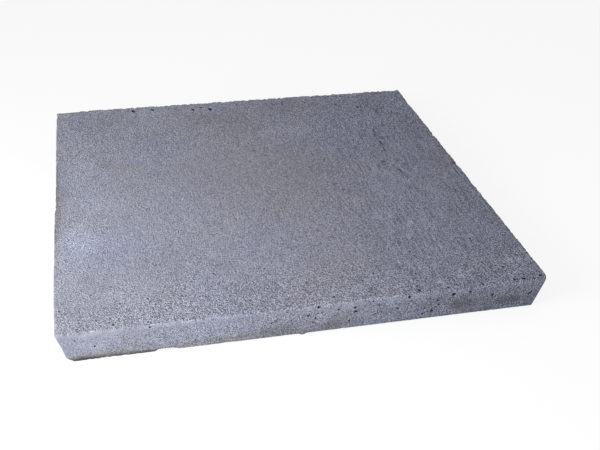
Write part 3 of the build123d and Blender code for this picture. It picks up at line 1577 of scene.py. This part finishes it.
        # The pale wash is weaker at the front left corner, which is painted shade against the window lamp's
        # light there.
        wash = zones.weigh(0.22, front_left=-0.14) + strong * 0.34 - weak * 0.26
        colour = graph.blend(zones.washed * wash, colour, rgba(self.pale))
        tints = {
            StainKind.EARTH: self.earth,
            StainKind.PALE: self.pale,
            StainKind.DAMP: self.damp,
            StainKind.SOIL: self.soil,
        }
        for kind, tint in tints.items():
            colour = graph.blend(graph.attribute(kind.value), colour, rgba(tint))
        return colour

    def _speckle(self, graph: Graph, zones: Zones, grain: Grain) -> Val:
        """Adds up the tones of the grains and marks, each as strong as its zone has it. The grains' and
        worms' tones are partly the sand's own and partly painted shade of the relief, and the streaks are
        painted shade of the float's ridges.

        Args:
            graph: The material's graph.
            zones: The zones' masks.
            grain: The textures.

        Returns:
            How much paler or darker each place is, about nought.
        """
        fine = zones.weigh(1.5, front=0.85, back=0.55, right=0.12, front_left=-1.1, skin=-0.8, side=-0.1)
        fine = fine - zones.front_left * zones.side * 0.2
        grit = zones.right * zones.weigh(0.4, back=1.1) * zones.top
        worms = zones.weigh(0.4, front=0.25, right=0.1, front_left=-0.2) * (1 - zones.side * 0.8)
        # Painted shade: streaks that stand for the shading of the float's ridges, strongest where the top
        # was dragged.
        streaks = zones.weigh(0.2, dragged=1.1) * zones.top
        dark = graph.step(grain.pebbles, *self.dark_pebbles)
        dark = dark * zones.weigh(0.3, front=0.15) * (1 - zones.side * 0.5)
        pale = graph.step(grain.pebbles, *self.pale_pebbles) * zones.top * 0.25
        speckle = grain.fine * fine + grain.grit * grit + grain.worms * worms
        return speckle + grain.streaks * streaks - dark + pale

    def _level(self, graph: Graph, place: Val, run: Val, zones: Zones, grain: Grain) -> Val:
        """Works out what the colour is multiplied by, with painted light and shade across the slab.

        Args:
            graph: The material's graph.
            place: Where on the slab.
            run: The run down from the crease.
            zones: The zones' masks.
            grain: The textures.

        Returns:
            One level for each place, about 1.
        """
        x, _ = graph.axes(place)
        # Painted light: paler towards the left, for the fall of light from the left that the lamps don't
        # give in full.
        level = self.base_level + graph.step(x, *self.painted_light_left) * 0.28
        level = level + self._speckle(graph, zones, grain) + grain.clouds * zones.weigh(0.16, side=0.3)
        # Darker along the front of the top away from the right. The sides are darker to the right, which is
        # painted shade where less light falls.
        level = level - zones.front * (1 - zones.right) * zones.top * 0.07 - zones.side * zones.right * 0.06
        # Painted shade: darker at the front left corner, and most just under its crease, against the window
        # lamp's light there.
        shade = zones.side * graph.step(run, *self.crease_shade) * 0.08
        return (level - zones.front_left * (0.19 + shade)).at_least(self.lowest_level)

    @staticmethod
    def _relief(zones: Zones, grain: Grain) -> Val:
        """Adds up the heights of the grains and marks.

        Args:
            zones: The zones' masks.
            grain: The textures.

        Returns:
            The height, as a share of the bumps' own.
        """
        domes = grain.domes * zones.weigh(0.8, front=0.1, right=0.5, side=-0.35, front_left=-0.35)
        marks = grain.ridges * zones.weigh(0.2, right=0.8) + grain.worms * zones.weigh(0.4, right=0.8)
        return domes + marks * zones.top

    def make(self) -> bpy.types.Material:
        """Makes the material.

        Returns:
            The material.
        """
        material = bpy.data.materials.new(self.name)
        material.use_nodes = True
        graph = Graph(material.node_tree)
        place = graph.node("ShaderNodeTexCoord", {}, {}, "Object")
        run = graph.attribute("run")
        zones = self._zones(graph, place, run)
        grain = self._grain(graph, place)
        level = self._level(graph, place, run, zones, grain)
        colour = graph.blend(1.0, self._tinted(graph, place, zones), level, "MULTIPLY")
        # Painted shade: nearly black inside the blow-holes.
        colour = graph.blend(graph.attribute("hole_shade"), colour, rgba(self.hole_shade))
        bumps = {"Strength": 1.0, "Distance": self.bump, "Height": self._relief(zones, grain)}
        sockets = {
            "Base Color": colour,
            "Roughness": self.roughness + grain.clouds * 0.1 + graph.attribute("broken") * 0.05,
            "Normal": graph.node("ShaderNodeBump", {}, bumps),
            "Specular IOR Level": self.gloss,
        }
        shader = graph.node("ShaderNodeBsdfPrincipled", {}, sockets)
        graph.node("ShaderNodeOutputMaterial", {}, {"Surface": shader})
        return material


@dataclass(frozen=True)
class Lamp:
    """A square soft lamp that faces a point."""

    name: str
    place: Place
    size: float
    watts: float
    aim: Place = (0.0, 0.0, 0.035)

    def make(self) -> None:
        """Hangs the lamp."""
        light = bpy.data.lights.new(self.name, "AREA")
        light.size = self.size
        light.energy = self.watts
        lamp = bpy.data.objects.new(self.name, light)
        lamp.location = self.place
        way = Vector(self.aim) - Vector(self.place)
        lamp.rotation_euler = way.to_track_quat("-Z", "Y").to_euler()
        bpy.context.scene.collection.objects.link(lamp)


@dataclass(frozen=True)
class Studio:
    """A pale floor, soft lamps from the front left and the front right, and an even white surround."""

    floor_reach: float = 12.0
    floor_drop: float = 0.2 * MM
    floor_seen: Colour = (0.95, 0.95, 0.95)
    floor_bounce: Colour = (0.66, 0.66, 0.66)
    floor_white: float = 0.83
    surround: float = 0.57
    surround_seen: float = 0.93
    lamps: tuple[Lamp, ...] = (
        Lamp("window_lamp", (-0.98, -0.74, 0.58), 0.7, 20.0),
        Lamp("fill_lamp", (0.70, -1.70, 0.53), 0.8, 4.5),
    )

    @staticmethod
    def _seen(graph: Graph) -> Val:
        """Tells rays that the camera sees from those that only carry light.

        Args:
            graph: The graph that asks.

        Returns:
            1 where a surface is seen itself, in a reflection or through glass, and else 0.
        """
        kinds = ("Is Camera Ray", "Is Glossy Ray", "Is Transmission Ray")
        camera, glossy, through = (graph.node("ShaderNodeLightPath", {}, {}, kind) for kind in kinds)
        return camera.at_least(glossy).at_least(through)

    def _floor(self) -> None:
        """Lays the floor just under the slab."""
        reach = self.floor_reach / 2
        mesh = bpy.data.meshes.new("floor")
        corners = [(-reach, -reach, 0), (reach, -reach, 0), (reach, reach, 0), (-reach, reach, 0)]
        mesh.from_pydata(corners, [], [(0, 1, 2, 3)])
        floor = bpy.data.objects.new("floor", mesh)
        floor.location.z = -self.floor_drop
        bpy.context.scene.collection.objects.link(floor)
        material = bpy.data.materials.new("pale_floor")
        material.use_nodes = True
        graph = Graph(material.node_tree)
        seen = self._seen(graph)
        pale = graph.blend(seen, rgba(self.floor_bounce), rgba(self.floor_seen))
        matt = graph.node("ShaderNodeBsdfDiffuse", {}, {"Color": pale})
        white = graph.node("ShaderNodeEmission", {}, {"Strength": 1.0})
        share = seen * self.floor_white
        mixed = graph.node("ShaderNodeMixShader", {}, {0: share, 1: matt, 2: white})
        graph.node("ShaderNodeOutputMaterial", {}, {"Surface": mixed})
        mesh.materials.append(material)

    def _world(self) -> None:
        """Surrounds the scene with even light, white where it is seen."""
        world = bpy.data.worlds.new("surround")
        world.use_nodes = True
        graph = Graph(world.node_tree)
        strength = self.surround + self._seen(graph) * (self.surround_seen - self.surround)
        light = graph.node("ShaderNodeBackground", {}, {"Color": (1.0, 1.0, 1.0, 1.0), "Strength": strength})
        graph.node("ShaderNodeOutputWorld", {}, {"Surface": light})
        bpy.context.scene.world = world

    def build(self) -> None:
        """Sets up the floor, the surround and the lamps."""
        self._floor()
        self._world()
        for lamp in self.lamps:
            lamp.make()
        bpy.context.scene.view_settings.view_transform = "Standard"
        LOG.info("studio: %d lamps", len(self.lamps))


@dataclass(frozen=True)
class PhotoCamera:
    """The camera at the photograph's viewing angle."""

    place: Place = (-0.29571, -1.48739, 0.91118)
    aim: Place = (0.04143, -0.11513, 0.03500)
    roll: float = math.radians(1.790)
    lens_mm: float = 52.690
    sensor_mm: float = 36.0

    def build(self) -> None:
        """Sets up the camera and makes it the scene's own."""
        data = bpy.data.cameras.new("photo_camera")
        data.sensor_fit = "HORIZONTAL"
        data.sensor_width = self.sensor_mm
        data.lens = self.lens_mm
        camera = bpy.data.objects.new("photo_camera", data)
        way = Vector(self.aim) - Vector(self.place)
        turn = way.to_track_quat("-Z", "Y").to_matrix() @ Matrix.Rotation(self.roll, 3, "Z")
        camera.matrix_world = Matrix.Translation(self.place) @ turn.to_4x4()
        bpy.context.scene.collection.objects.link(camera)
        bpy.context.scene.camera = camera
        LOG.info("photo_camera: %.1f mm lens", self.lens_mm)


def main() -> None:
    """Builds the slab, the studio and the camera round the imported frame."""
    logging.basicConfig(level=logging.INFO, format="%(message)s")
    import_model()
    slab = PadSlab(*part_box(NODE))
    slab.build()
    slab.dress(ConcreteFinish())
    Studio().build()
    PhotoCamera().build()


if __name__ == "__main__":
    main()
